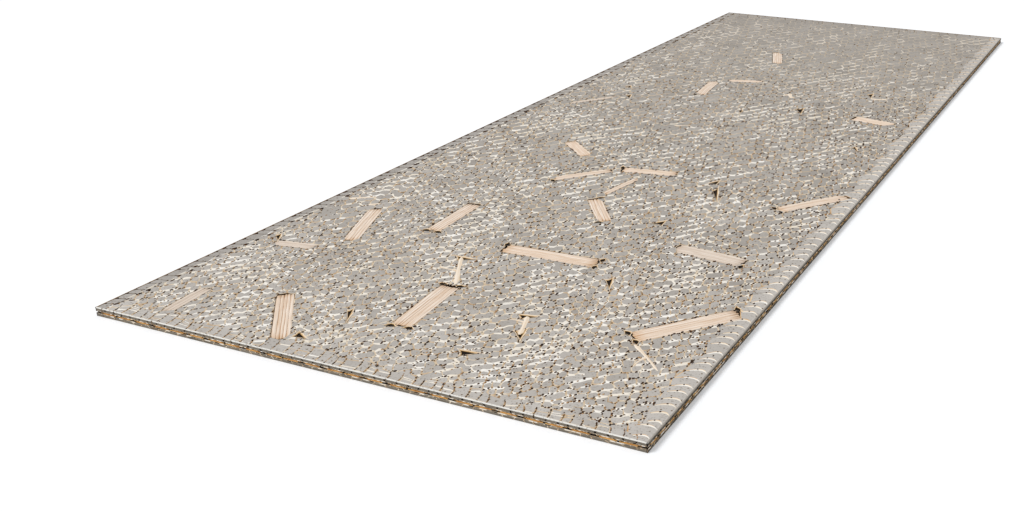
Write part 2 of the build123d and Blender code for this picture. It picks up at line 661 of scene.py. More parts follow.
@dataclass
class Hole:
    """A straight-sided hole in a flat tiling, such as a chip's seat or a crevice."""

    outline: list[Vector]

    @staticmethod
    def in_rows(sheet: Sheet, outline: list[Vector]) -> "Hole":
        """Carry an outline on the sheet to the evenly spaced rows of the tiling.

        Args:
            sheet: The sheet.
            outline: Corners on the sheet in millimetres.

        Returns:
            The hole, with its longer sides in several pieces.
        """
        points = []
        for start, end in zip(outline, outline[1:] + outline[:1]):
            pieces = 1 + int((end - start).length / 70)
            points += [start.lerp(end, k / pieces) for k in range(pieces)]
        return Hole([Vector((p.x, sheet.row(p.y))) for p in points])

    def cut(self, bm: bmesh.types.BMesh) -> None:
        """Cut the outline out of a flat tiling.

        Args:
            bm: The tiling.
        """
        low = Vector((min(p.x for p in self.outline), min(p.y for p in self.outline)))
        high = Vector((max(p.x for p in self.outline), max(p.y for p in self.outline)))
        faces = [f for f in bm.faces if self.is_near(f.calc_center_median(), low, high)]
        if not faces:
            return
        edges = {e for f in faces for e in f.edges}
        geometry = [*{v for e in edges for v in e.verts}, *edges, *faces]
        for start, end in zip(self.outline, self.outline[1:] + self.outline[:1]):
            outward = Vector((end.y - start.y, start.x - end.x, 0.0)).normalized()
            made = bmesh.ops.bisect_plane(
                bm, geom=geometry, dist=0.001, plane_co=start.to_3d(), plane_no=outward
            )
            geometry = made["geom"]
            for item in made["geom_cut"]:
                if isinstance(item, bmesh.types.BMEdge):
                    item.seam = True
        parts = [f for f in geometry if isinstance(f, bmesh.types.BMFace)]
        edges = [e for e in geometry if isinstance(e, bmesh.types.BMEdge) and e.seam]
        inside = [f for f in parts if self.holds(f.calc_center_median())]
        bmesh.ops.delete(bm, geom=inside, context="FACES")
        edges = [e for e in edges if e.is_valid]
        stray = [e for e in edges if not e.is_boundary]
        for edge in edges:
            edge.seam = False
        bmesh.ops.dissolve_edges(bm, edges=stray, use_verts=True)

    def is_near(self, middle: Vector, low: Vector, high: Vector, reach: float = 60.0) -> bool:
        """Tell whether a cell's middle lies by the outline's box."""
        across = low.x - reach < middle.x < high.x + reach
        return across and low.y - reach < middle.y < high.y + reach

    def holds(self, point: Vector) -> bool:
        """Tell whether a point lies inside the outline."""
        inside = False
        for start, end in zip(self.outline, self.outline[1:] + self.outline[:1]):
            if (start.y > point.y) != (end.y > point.y):
                crossing = start.x + (point.y - start.y) * (end.x - start.x) / (end.y - start.y)
                inside = inside != (point.x < crossing)
        return inside


def sunk_outlines(sheet: Sheet, level: float) -> list[list[Vector]]:
    """Find the outlines of the floors that lie at one level of the bare board.

    Args:
        sheet: The sheet.
        level: Height of the floors in millimetres.

    Returns:
        The corners of each floor, in order round it.
    """
    bm = bmesh.new()
    bm.from_mesh(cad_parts["cement_board"].data)
    other = [f for f in bm.faces if any(abs(v.co.z / MM - level) > 0.01 for v in f.verts)]
    bmesh.ops.delete(bm, geom=other, context="FACES")
    rim = {e for e in bm.edges if e.is_boundary}
    outlines = []
    while rim:
        edge = rim.pop()
        vert = edge.verts[1]
        loop = [edge.verts[0], vert]
        while vert is not loop[0]:
            edge = next(e for e in vert.link_edges if e in rim)
            rim.discard(edge)
            vert = edge.other_vert(vert)
            loop.append(vert)
        outlines.append([Vector((v.co.x / MM, v.co.y / MM)) for v in loop[:-1]])
    bm.free()
    return outlines


@dataclass
class PebbleFace:
    """A broad face of the sheet: cement pebbles in wandering rows, with seats and crevices."""

    sheet: Sheet
    relief: CellRelief
    size: float = 1.0
    in_row: Vector = field(default_factory=lambda: Vector((13.0, 7.2, 0.0)))
    to_next_row: Vector = field(default_factory=lambda: Vector((-8.9, 13.8, 0.0)))
    fan: float = 0.4
    jitter: float = 2.2
    drift: float = 14.0
    merged: tuple[float, float] = (0.24, 0.04)
    bright: float = 0.4
    calm: float = 0.5
    edge_specks: float = 0.36
    cell_specks: float = 0.75
    strips: int = 5
    foot: float = 17.0
    underneath: bool = False
    seed: int = 4

    def wander(self, place: Vector) -> Vector:
        """Give how far a place of the even tiling drifts from its own."""
        return noise.noise_vector(place / 150.0) * self.drift + noise.noise_vector(place / 60.0) * 4.0

    def in_cells(self, place: Vector) -> Vector:
        """Count a place of the even tiling in cells along its row and in rows."""
        along, ahead = self.in_row * self.size, self.to_next_row * self.size
        area = along.x * ahead.y - along.y * ahead.x
        cells = (ahead.y * place.x - ahead.x * place.y) / area
        rows = (along.x * place.y - along.y * place.x) / area
        return Vector((cells, rows, 0.0))

    def spread(self, row: float) -> float:
        """Give how far the columns have fanned out at an even row."""
        return 1 + self.fan * max(row, 0.0) / self.sheet.rows

    def settle(self, place: Vector, draw: random.Random) -> Vector:
        """Move a corner of the even tiling to its wandering place.

        Args:
            place: Distances from the left edge in millimetres and from the front edge in even rows.
            draw: The seeded source of jitter.

        Returns:
            The place across, from the middle, and along; the columns fan out towards the far end. Where the
            pebbles lie like bricks, the corners keep near the line between two rows.
        """
        count = self.in_cells(place)
        round_share = clamp(0.55 + 1.3 * noise.noise(place / 170.0 + Vector((0.0, 0.0, 7.0))), 0.2)
        flat = (count.y % 1.0 - 0.5) * (round_share - 1.0)
        place = place + self.to_next_row * self.size * flat
        drift = self.wander(place)
        u = place.x - self.sheet.width / 2 + drift.x + draw.uniform(-self.jitter, self.jitter)
        v = place.y + drift.y * 0.8 + draw.uniform(-self.jitter, self.jitter) * 0.7
        return Vector((u * self.spread(place.y), v, 0.0))

    def band(self, place: Vector) -> float:
        """Tell how far the white band between two rows, pale fibre with a painted highlight, opens at a place
        of the settled tiling.

        Args:
            place: Distance from the middle in millimetres, and along in even rows.

        Returns:
            From 0, shut, to 1.
        """
        start = Vector((place.x / self.spread(place.y) + self.sheet.width / 2, place.y, 0.0))
        even = start.copy()
        for _ in range(2):
            drift = self.wander(even)
            even = start - Vector((drift.x, drift.y * 0.8, 0.0))
        count = self.in_cells(even)
        line = math.floor(count.y)
        own = noise.noise(Vector((count.x * 0.9, line * 7.31, 3.0)))
        patch = noise.noise(Vector((count.x / 7.0, count.y / 8.0, 11.0)))
        share = max(place.y, 0.0) / self.sheet.rows
        return clamp(1.9 * own + 1.1 * patch + self.bright - self.calm * share ** 2)

    def tiling(self) -> bmesh.types.BMesh:
        """Build the flat tiling: triangles whose corners are cut until they are six-sided.

        Returns:
            The mesh, across in millimetres and along in even rows.
        """
        draw = random.Random(self.seed)
        bm = bmesh.new()
        first = (self.in_row + self.to_next_row) * self.size
        second = (self.to_next_row * 2 - self.in_row) * self.size
        cell = first.x * second.y - first.y * second.x
        margin = 45 * self.size
        wide, tall = self.sheet.width + 2 * margin, self.sheet.rows + 2 * margin
        ahead = math.ceil((second.y * wide - second.x * tall) / cell)
        aside = math.ceil((first.x * tall + first.y * wide) / cell)
        before = math.ceil(first.y * wide / cell)
        bmesh.ops.create_grid(bm, x_segments=ahead, y_segments=aside, size=0.5)
        for vert in bm.verts:
            i = round((vert.co.x + 0.5) * ahead)
            j = round((vert.co.y + 0.5) * aside) - before
            vert.co = first * i + second * j - Vector((margin, margin, 0.0))
        away = []
        for face in bm.faces:
            middle = face.calc_center_median()
            if not (-margin < middle.x < wide - margin and -margin < middle.y < tall - margin):
                away.append(face)
        bmesh.ops.delete(bm, geom=away, context="FACES")
        bmesh.ops.triangulate(bm, faces=bm.faces[:], quad_method="SHORT_EDGE")
        bmesh.ops.bevel(
            bm, geom=bm.verts[:], affect="VERTICES", offset_type="PERCENT", offset=33.3,
            segments=1, profile=0.5, material=-1,
        )
        self.merge_some(bm, draw)
        for vert in bm.verts:
            vert.co = self.settle(vert.co, draw)
        half = self.sheet.width / 2 - self.sheet.rim
        low, high = self.sheet.row_limits()
        for place, outward in (
            ((0, low, 0), (0, -1, 0)),
            ((0, high, 0), (0, 1, 0)),
            ((-half, 0, 0), (-1, 0, 0)),
            ((half, 0, 0), (1, 0, 0)),
        ):
            geometry = bm.verts[:] + bm.edges[:] + bm.faces[:]
            bmesh.ops.bisect_plane(
                bm, geom=geometry, dist=0.001, plane_co=place, plane_no=outward, clear_outer=True
            )
        return bm

    def merge_some(self, bm: bmesh.types.BMesh, draw: random.Random) -> None:
        """Join some neighbouring cells, most of them along their row, so that they are twice as long.

        Args:
            bm: The tiling.
            draw: The seeded source of chance.
        """
        used = set()
        gone = []
        for edge in bm.edges:
            faces = edge.link_faces
            if len(faces) != 2 or used & set(faces):
                continue
            way = (faces[0].calc_center_median() - faces[1].calc_center_median()).normalized()
            chance = self.merged[0] if abs(way.dot(self.in_row.normalized())) > 0.9 else self.merged[1]
            if draw.random() < chance:
                used |= set(faces)
                gone.append(edge)
        bmesh.ops.dissolve_edges(bm, edges=gone, use_verts=False)

    def pierced(self, bm: bmesh.types.BMesh, holes: list[Hole], blocks: int = 12) -> bmesh.types.BMesh:
        """Cut the holes, block by block, and weld the blocks again.

        Args:
            bm: The flat tiling, which is freed.
            holes: The seats, crevices and borders to cut.
            blocks: How many blocks the sheet is taken in along its length.

        Returns:
            The pierced tiling.
        """
        whole = bmesh.new()
        for number in range(blocks):
            part = bm.copy()
            others = [
                f for f in part.faces
                if clamp(int(f.calc_center_median().y / self.sheet.rows * blocks), 0, blocks - 1) != number
            ]
            bmesh.ops.delete(part, geom=others, context="FACES")
            for hole in holes:
                hole.cut(part)
            join(whole, part)
        bm.free()
        bmesh.ops.remove_doubles(whole, verts=whole.verts, dist=0.01)
        return whole

    def build(self, name: str, materials: list[bpy.types.Material], holes: list[Hole]) -> list[Vector]:
        """Shape the face and part it into long strips.

        Args:
            name: The pieces' name, to which each strip's number is added.
            materials: Materials in the order of Skin.
            holes: The seats and crevices to cut.

        Returns:
            Places on the sheet for small specks.
        """
        bm = self.pierced(self.tiling(), holes)
        specks = self.scatter(bm)
        strip = bm.faces.layers.int.new("strip")
        wide = self.sheet.width / self.strips
        for face in bm.faces:
            face[strip] = int((face.calc_center_median().x + self.sheet.width / 2) / wide)
        self.relief.raise_cells(bm)
        tone = bm.faces.layers.float["tone"]
        # Painted light: each cell's tone is raised near the front edge and lowered towards the far end
        for face in bm.faces:
            row = face.calc_center_median().y
            face[tone] += 0.37 - 0.75 * row / self.sheet.rows + 0.4 * math.exp(-max(row, 0.0) / 45.0)
        for vert in bm.verts:
            vert.co.y = self.sheet.along(vert.co.y)
        for number in range(self.strips):
            part = bm.copy()
            layer = part.faces.layers.int["strip"]
            others = [f for f in part.faces if f[layer] != number]
            bmesh.ops.delete(part, geom=others, context="FACES")
            add_skirt(part, self.foot)
            if self.underneath:
                centre = (0, 0, self.sheet.thickness / 2)
                turn = Matrix.Rotation(math.pi, 3, "Y")
                bmesh.ops.rotate(part, cent=centre, matrix=turn, verts=part.verts)
            finish_piece(part, f"{name}_{number + 1}", materials)
        bm.free()
        return specks

    def speckled(self, place: Vector) -> float:
        """Give how thick the specks lie at a place: fewer at the far end, more towards the right."""
        far = clamp((place.y / self.sheet.rows - 0.66) / 0.16)
        return (1.0 - 0.85 * far) * (1.0 + 0.6 * max(place.x / self.sheet.width * 2, 0.0))

    def scatter(self, bm: bmesh.types.BMesh) -> list[Vector]:
        """Choose places for small specks, on the joints and in the pebbles.

        Args:
            bm: The flat tiling.

        Returns:
            Places on the sheet.
        """
        draw = random.Random(self.seed)
        found = []
        for edge in bm.edges:
            place = edge.verts[0].co.lerp(edge.verts[1].co, draw.uniform(0.25, 0.75))
            if not edge.is_boundary and draw.random() < self.edge_specks * self.speckled(place):
                found.append(place)
        for face in bm.faces:
            middle = face.calc_center_median()
            if draw.random() < self.cell_specks * self.speckled(middle):
                found.append(middle.lerp(draw.choice(face.verts[:]).co, draw.uniform(0.2, 0.85)))
        level = self.sheet.thickness - SPECK_DROP
        return [Vector((place.x, self.sheet.along(place.y), level)) for place in found]


@dataclass
class BorderRow:
    """The row of cells that stands along one edge of the top face, with ragged inner ends."""

    sheet: Sheet
    side: Side
    depth: float
    ragged: float = 0.2
    relief: CellRelief = field(default_factory=CellRelief)
    lean: float = 0.0
    arch: float = 0.0
    drop: float = 0.0
    segments: int = 6
    foot: float = 17.0
    lighten: float = 0.0
    wander: float = 0.22
    slope: float = 0.0
    crossed: float = 0.0

    def __post_init__(self) -> None:
        """Draw each dividing line's own depth and shift."""
        draw = random.Random(self.side.name)
        pitch = PITCHES[self.side]
        self.reach = self.sheet.rows if self.side.lengthways else self.sheet.width
        self.count = round(self.reach / pitch)
        self.depths = [
            self.depth * draw.uniform(1 - self.ragged, 1 + self.ragged) * (1 - self.slope * k / self.count)
            for k in range(self.count + 1)
        ]
        self.shifts = [draw.uniform(-self.wander, self.wander) * pitch for _ in range(self.count + 1)]

    def divider(self, number: int, share: float) -> Vector:
        """Give a place on a dividing line.

        Args:
            number: Which line, from the edge's low end.
            share: From 0 at its inner end to 1 at the edge.

        Returns:
            The place in the flat tiling: across in millimetres, along in even rows.
        """
        inward = self.depths[number] * (1 - share)
        bend = self.lean * (1 - share) + self.arch * math.sin(math.pi * share) - self.drop * share ** 6
        along = number * self.reach / self.count + bend + self.shifts[number]
        if number in (0, self.count):
            along = self.reach * (number // self.count)
        first, last = self.sheet.row_limits()
        half = self.sheet.width / 2 - self.sheet.rim
        if self.side.lengthways:
            along = clamp(along, first + 0.02 * number, last - 0.02 * (self.count - number))
            return Vector((inward - half if self.side is Side.LEFT else half - inward, along, 0.0))
        across = clamp(self.sheet.across(along), 0.02 * number - half, half - 0.02 * (self.count - number))
        return Vector((across, first + inward if self.side is Side.FRONT else last - inward, 0.0))

    def inward(self, place: Vector) -> float:
        """Tell how far in from a long edge a place lies, as a share of the row's depth."""
        return (self.sheet.width / 2 - abs(place.x)) / self.depth

    def crescent(self, place: Vector) -> float:
        """Tell how far the white crescent of a scale, a painted highlight on its far rim, opens, most of all a
        third of the way in.
        """
        return math.sin(math.pi * clamp(self.inward(place)) ** 0.7) ** 0.8

    def dash(self, place: Vector) -> float:
        """Tell how far the pale dash opens at the inner end of a cell."""
        return 0.0 if self.inward(place) < 0.6 else clamp(0.7 + 2.0 * noise.noise(place / 16.0))

    def holes(self) -> list[Hole]:
        """Give the room that the row takes out of the tilings beside it, cell by cell."""
        found = []
        for number in range(self.count):
            inner, following = self.divider(number, 0.0), self.divider(number + 1, 0.0)
            outer = []
            for place in (following, inner):
                half = self.sheet.width / 2 + 1
                if self.side.lengthways:
                    outer.append(Vector((half if self.side is Side.RIGHT else -half, place.y)))
                else:
                    outer.append(Vector((place.x, -1.0 if self.side is Side.FRONT else self.sheet.rows + 1)))
            found.append(Hole([inner.to_2d(), following.to_2d(), *outer]))
        return found

    def tiling(self) -> bmesh.types.BMesh:
        """Build the row's flat cells.

        Returns:
            The mesh, across in millimetres and along in even rows.
        """
        bm = bmesh.new()
        bmesh.ops.create_grid(bm, x_segments=self.segments, y_segments=self.count, size=0.5)
        draw = random.Random(self.count)
        inner = [
            e for e in bm.edges
            if abs(e.verts[0].co.x - e.verts[1].co.x) < 1e-4 and not e.is_boundary
        ]
        inner = [e for e in inner if draw.random() >= self.crossed]
        bmesh.ops.dissolve_edges(bm, edges=inner, use_verts=False)
        for vert in bm.verts:
            vert.co = self.divider(round((vert.co.y + 0.5) * self.count), vert.co.x + 0.5)
        bm.normal_update()
        bmesh.ops.reverse_faces(bm, faces=[f for f in bm.faces if f.normal.z < 0])
        return bm

    def build(self, name: str, bm: bmesh.types.BMesh, materials: list[bpy.types.Material]) -> None:
        """Raise the row's cells and finish the piece.

        Args:
            name: The piece's name.
            bm: The row's flat tiling, which is freed.
            materials: Materials in the order of Skin.
        """
        self.relief.raise_cells(bm, self.lighten)
        for vert in bm.verts:
            vert.co.y = self.sheet.along(vert.co.y)
        add_skirt(bm, self.foot)
        finish_piece(bm, name, materials)

    def speck(self, number: int, share: float) -> Vector:
        """Give the place on the sheet of a speck on a dividing line."""
        place = self.divider(number, share)
        return Vector((place.x, self.sheet.along(place.y), self.sheet.thickness - SPECK_DROP))


@dataclass(frozen=True)
class EdgeLayer:
    """One level of a cut edge: a band of cells between two heights."""

    low: float
    high: float
    rows: int
    split: int
    relief: CellRelief
    sway: float = 0.15
    mixed: bool = False


@dataclass
class CutEdge:
    """A cut edge of the sheet, layer by layer, with the open seam left between its two halves."""

    sheet: Sheet
    side: Side
    layers: tuple[EdgeLayer, ...]
    depth: float = 2.3

    def stations(self) -> list[float]:
        """Place the cracks along the edge, in the edge's own direction."""
        pitch = PITCHES[self.side]
        if self.side.lengthways:
            count = round(self.sheet.rows / pitch)
            half = self.sheet.length / 2
            places = [self.sheet.along(k * pitch) for k in range(count + 1)]
        else:
            count = round(self.sheet.width / pitch)
            half = self.sheet.width / 2
            places = [self.sheet.across(k * pitch) for k in range(count + 1)]
        places[0], places[-1] = -half, half
        if self.side in (Side.BACK, Side.LEFT):
            places = [-p for p in reversed(places)]
        return places

    def build(self, name: str, materials: list[bpy.types.Material]) -> None:
        """Shape the layers and turn them to their side.

        Args:
            name: The piece's name.
            materials: Materials in the order of Skin.
        """
        draw = random.Random(name)
        whole = bmesh.new()
        for layer in self.layers:
            join(whole, self.layer_mesh(layer, draw))
        reach = (self.sheet.width if self.side.lengthways else self.sheet.length) / 2
        stand = Matrix.Rotation(math.radians(90), 4, "X")
        turn = Matrix.Rotation(math.radians(self.side.value), 4, "Z")
        placed = turn @ Matrix.Translation((0, -reach, 0)) @ stand
        bmesh.ops.transform(whole, matrix=placed, verts=whole.verts)
        finish_piece(whole, name, materials)

    def layer_mesh(self, layer: EdgeLayer, draw: random.Random) -> bmesh.types.BMesh:
        """Shape one layer, lying flat with the outside upwards.

        Args:
            layer: The layer.
            draw: The seeded source of jitter.

        Returns:
            The layer's mesh.
        """
        places = self.stations()
        count = (len(places) - 1) * layer.split
        bm = bmesh.new()
        bmesh.ops.create_grid(bm, x_segments=count, y_segments=layer.rows, size=0.5)
        tall = (layer.high - layer.low) / layer.rows
        for vert in bm.verts:
            column = round((vert.co.x + 0.5) * count)
            row = round((vert.co.y + 0.5) * layer.rows)
            first, part = divmod(column, layer.split)
            nearest = places[min(first, len(places) - 1)]
            following = places[min(first + 1, len(places) - 1)]
            wide = (following - nearest) / layer.split
            across = nearest + wide * part
            height = layer.low + tall * row
            if 0 < column < count:
                across += draw.uniform(-layer.sway, layer.sway) * wide
            if 0 < row < layer.rows:
                height += draw.uniform(-layer.sway, layer.sway) * tall
            vert.co = (across, height, 0.0)
        layer.relief.raise_cells(bm)
        if layer.mixed:
            for face in bm.faces:
                if face.material_index == Skin.CEMENT and draw.random() < 0.45:
                    face.material_index = Skin.RIM if draw.random() < 0.6 else Skin.PIT
        add_skirt(bm, -self.depth)
        return bm


@dataclass
class Arris:
    """The slightly blunt corner that runs along some sides of the top of the sheet."""

    sheet: Sheet
    sides: tuple[Side, ...]
    broad: float = 2.4
    tall: float = 1.6
    top: float = 19.95

    def build(self, name: str, material: bpy.types.Material) -> None:
        """Shape the bars that make up the corner.

        Args:
            name: The piece's name.
            material: The cement.
        """
        bm = bmesh.new()
        for side in self.sides:
            reach = (self.sheet.width if side.lengthways else self.sheet.length) / 2
            long = self.sheet.length if side.lengthways else self.sheet.width
            made = bmesh.ops.create_cube(bm, size=1.0)["verts"]
            bmesh.ops.scale(bm, vec=(long, self.broad, self.tall), verts=made)
            bmesh.ops.translate(bm, vec=(0, self.broad / 2 - reach, self.top - self.tall / 2), verts=made)
            outer = [
                e for e in {e for v in made for e in v.link_edges}
                if all(v.co.z > self.top - 0.1 and v.co.y < 0.1 - reach for v in e.verts)
            ]
            done = bmesh.ops.bevel(
                bm, geom=outer, affect="EDGES", offset_type="OFFSET", offset=0.6,
                segments=2, profile=0.5, material=-1,
            )
            verts = {*[v for v in made if v.is_valid], *done["verts"]}
            turn = Matrix.Rotation(math.radians(side.value), 3, "Z")
            bmesh.ops.rotate(bm, cent=(0, 0, 0), matrix=turn, verts=list(verts))
        finish_piece(bm, name, [material])


@dataclass
class Specks:
    """Small wood specks that lie in the skin of the cement, stretched as the rows are."""

    sheet: Sheet
    small: float = 1.7
    large: float = 2.8
    tall: float = 0.48
    growth: float = 0.2
    places: list[Vector] = field(default_factory=list)

    def add(self, place: Vector) -> None:
        """Lay one speck, by the middle of its foot."""
        self.places.append(place)

    def build(self, name: str, material: bpy.types.Material) -> None:
        """Shape the specks as low cones whose feet lie under the cement.

        Args:
            name: The piece's name.
            material: The wood.
        """
        draw = random.Random(name)
        bead = bmesh.new()
        bmesh.ops.create_cone(bead, cap_ends=True, segments=6, radius1=1.0, radius2=0.0, depth=1.0)
        bmesh.ops.translate(bead, vec=(0, 0, 0.5), verts=bead.verts)
        for face in bead.faces:
            face.smooth = len(face.verts) == 3
        mesh = bpy.data.meshes.new("bead")
        bead.to_mesh(mesh)
        bead.free()
        plain = [0.0] * (3 * len(mesh.vertices))
        mesh.vertices.foreach_get("co", plain)
        bm = bmesh.new()
        for place in self.places:
            row = self.sheet.row(place.y)
            size = draw.uniform(self.small, self.large) * (1 + self.growth * row / self.sheet.rows)
            stretch = (self.sheet.along(row + 1) - self.sheet.along(row)) * 0.85
            reach = Vector((self.sheet.width / 2 - size, self.sheet.length / 2 - size * stretch))
            spot = Vector((clamp(place.x, -reach.x, reach.x), clamp(place.y, -reach.y, reach.y), place.z))
            mesh.vertices.foreach_set("co", plain)
            mesh.transform(Matrix.LocRotScale(spot, None, (size, size * stretch, self.tall)))
            bm.from_mesh(mesh)
        bpy.data.meshes.remove(mesh)
        finish_piece(bm, name, [material])


@dataclass
class Core:
    """A block inside the sheet, seen only as the floor of pits, crevices and the seam, and painted near-black
    as their shade.
    """

    sheet: Sheet
    low: float = 1.0
    high: float = 17.0
    inset: float = 2.3

    def build(self, material: bpy.types.Material) -> None:
        """Shape the core.

        Args:
            material: The near-black painted shade.
        """
        bm = bmesh.new()
        wide, long = self.sheet.width - 2 * self.inset, self.sheet.length - 2 * self.inset
        made = bmesh.ops.create_cube(bm, size=1.0)["verts"]
        bmesh.ops.scale(bm, vec=(wide, long, self.high - self.low), verts=made)
        bmesh.ops.translate(bm, vec=(0, 0, (self.low + self.high) / 2), verts=made)
        bmesh.ops.bevel(
            bm, geom=bm.edges[:], affect="EDGES", offset_type="OFFSET", offset=0.4,
            segments=1, profile=0.5, material=-1,
        )
        finish_piece(bm, "cement_core", [material])


@dataclass
class WoodChip:
    """One bare wood chip: a bundle of fibres, each bowed and torn off at its own length."""

    node: str
    fibre_width: float = 7.8
    torn: float = 6.5
    stations: int = 9
    middle: Vector = field(init=False)
    grain: Vector = field(init=False)
    length: float = field(init=False)
    width: float = field(init=False)

    def __post_init__(self) -> None:
        """Read the chip's place, turn and size from its solid."""
        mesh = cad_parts[self.node].data
        points = [v.co / MM for v in mesh.vertices]
        longest = max(mesh.edges, key=lambda e: (points[e.vertices[0]] - points[e.vertices[1]]).length)
        grain = points[longest.vertices[1]] - points[longest.vertices[0]]
        self.grain = Vector((grain.x, grain.y, 0.0)).normalized()
        if self.grain.y < 0:
            self.grain.negate()
        side = self.side
        reach = [p.dot(self.grain) for p in points]
        spread = [p.dot(side) for p in points]
        self.length = max(reach) - min(reach)
        self.width = max(spread) - min(spread)
        self.middle = self.grain * (max(reach) + min(reach)) / 2 + side * (max(spread) + min(spread)) / 2
        self.low = min(p.z for p in points)
        self.high = max(p.z for p in points)

    @property
    def side(self) -> Vector:
        """Give the direction to the left of the grain."""
        return Vector((-self.grain.y, self.grain.x, 0.0))

    def seat(self, gap: float = 1.6, side_gap: float = 0.2) -> list[Vector]:
        """Give the corners of the hole that the chip lies in.

        Args:
            gap: Room past each end.
            side_gap: Room past each side.

        Returns:
            The corners on the sheet.
        """
        reach = self.grain * (self.length / 2 + gap)
        spread = self.side * (self.width / 2 + side_gap)
        cut = self.grain * self.width * 0.04
        corners = []
        for a, b in ((-1, -1), (1, -1), (1, 1), (-1, 1)):
            points = [reach * a + spread * b - cut * a, reach * a + spread * b * 0.8]
            corners += [self.middle + p for p in (points if a * b < 0 else reversed(points))]
        return [corner.to_2d() for corner in corners]

    def end_gap(self, end: int, hand: int, length: float = 18.0, width: float = 12.0) -> list[Vector]:
        """Give the corners of a small forked gap at a corner of the chip.

        Args:
            end: -1 for the near end, 1 for the far end.
            hand: 1 for the left of the grain, -1 for the right.
            length: The gap's length along the chip's end.
            width: The gap's width.

        Returns:
            The corners on the sheet.
        """
        side = self.side * hand
        ahead = self.grain * end
        corner = self.middle + ahead * (self.length / 2 + 3.0) + side * (self.width / 2 - 2.0)
        places = ((0.6, 0.2), (0.0, 0.3), (-0.6, 0.1), (-0.15, -0.3), (0.1, -0.5), (0.25, -0.15))
        return [(corner + side * length * a + ahead * width * b).to_2d() for a, b in places]

    def side_places(self, draw: random.Random, pitch: float = 24.0) -> list[Vector]:
        """Give uneven places along both sides of the chip, where pinholes lie against it."""
        places = []
        for hand in (-1, 1):
            for number in range(int(self.length / pitch)):
                along = (number + draw.uniform(0.1, 0.9)) * pitch - self.length / 2
                aside = hand * (self.width / 2 + draw.uniform(0.6, 2.6))
                place = self.middle + self.grain * along + self.side * aside
                places.append(Vector((place.x, place.y, self.high - 0.3)))
        return places

    def build(self, material: bpy.types.Material) -> None:
        """Shape the fibres and lay them in place.

        Args:
            material: The wood.
        """
        draw = random.Random(self.node)
        count = max(2, round(self.width / self.fibre_width))
        shares = [draw.uniform(0.7, 1.3) for _ in range(count)]
        edges = [self.width * (sum(shares[:k]) / sum(shares) - 0.5) for k in range(count + 1)]
        tall = self.high - self.low
        bm = bmesh.new()
        for low, high in zip(edges, edges[1:]):
            made = bmesh.ops.create_cube(bm, size=1.0)["verts"]
            top = [e for e in {e for v in made for e in v.link_edges} if all(v.co.z > 0 for v in e.verts)]
            outer = ((low + high) / self.width) ** 2 * self.width * 0.05
            back, front = outer + draw.uniform(0.0, self.torn), outer + draw.uniform(0.0, self.torn)
            bmesh.ops.scale(bm, vec=(self.length - back - front, high - low, tall), verts=made)
            middle = ((back - front) / 2, (low + high) / 2, self.low + tall / 2 - draw.uniform(0.0, 0.5))
            bmesh.ops.translate(bm, vec=middle, verts=made)
            bmesh.ops.bevel(
                bm, geom=top, affect="EDGES", offset_type="OFFSET", offset=min(1.1, (high - low) * 0.18),
                segments=2, profile=0.5, material=-1,
            )
        long_edges = [e for e in bm.edges if abs(e.verts[0].co.x - e.verts[1].co.x) > self.length / 2]
        bmesh.ops.subdivide_edges(bm, edges=long_edges, cuts=self.stations)
        bend = draw.uniform(-1.5, 1.5)
        for vert in bm.verts:
            share = 2 * vert.co.x / self.length
            fibre = min(range(count), key=lambda k: abs((edges[k] + edges[k + 1]) / 2 - vert.co.y))
            middle = (edges[fibre] + edges[fibre + 1]) / 2
            wave = noise.noise(Vector((vert.co.x / 25.0, fibre * 7.3, 1.0)))
            slim = 1.0 - 0.5 * abs(share) ** 8
            vert.co.y = middle + (vert.co.y - middle) * slim + bend * (1 - share * share)
            # The lowered tips and the grooves take the wood's painted recess shade
            if self.low + 0.5 < vert.co.z:
                vert.co.z -= abs(wave) * 0.35 + 1.3 * abs(share) ** 14
                vert.co.y += wave * 0.45
        self.map_grain(bm)
        turn = math.atan2(self.grain.y, self.grain.x)
        bmesh.ops.rotate(bm, cent=(0, 0, 0), matrix=Matrix.Rotation(turn, 3, "Z"), verts=bm.verts)
        bmesh.ops.translate(bm, vec=self.middle, verts=bm.verts)
        for face in bm.faces:
            face.smooth = True
        finish_piece(bm, self.node + "_fibres", [material], (self.node,))

    def map_grain(self, bm: bmesh.types.BMesh) -> None:
        """Lay the grain map along the fibres, in metres."""
        layer = bm.loops.layers.uv.new("grain")
        for face in bm.faces:
            for loop in face.loops:
                co = loop.vert.co
                loop[layer].uv = (co.x * MM, (co.y + co.z) * MM)


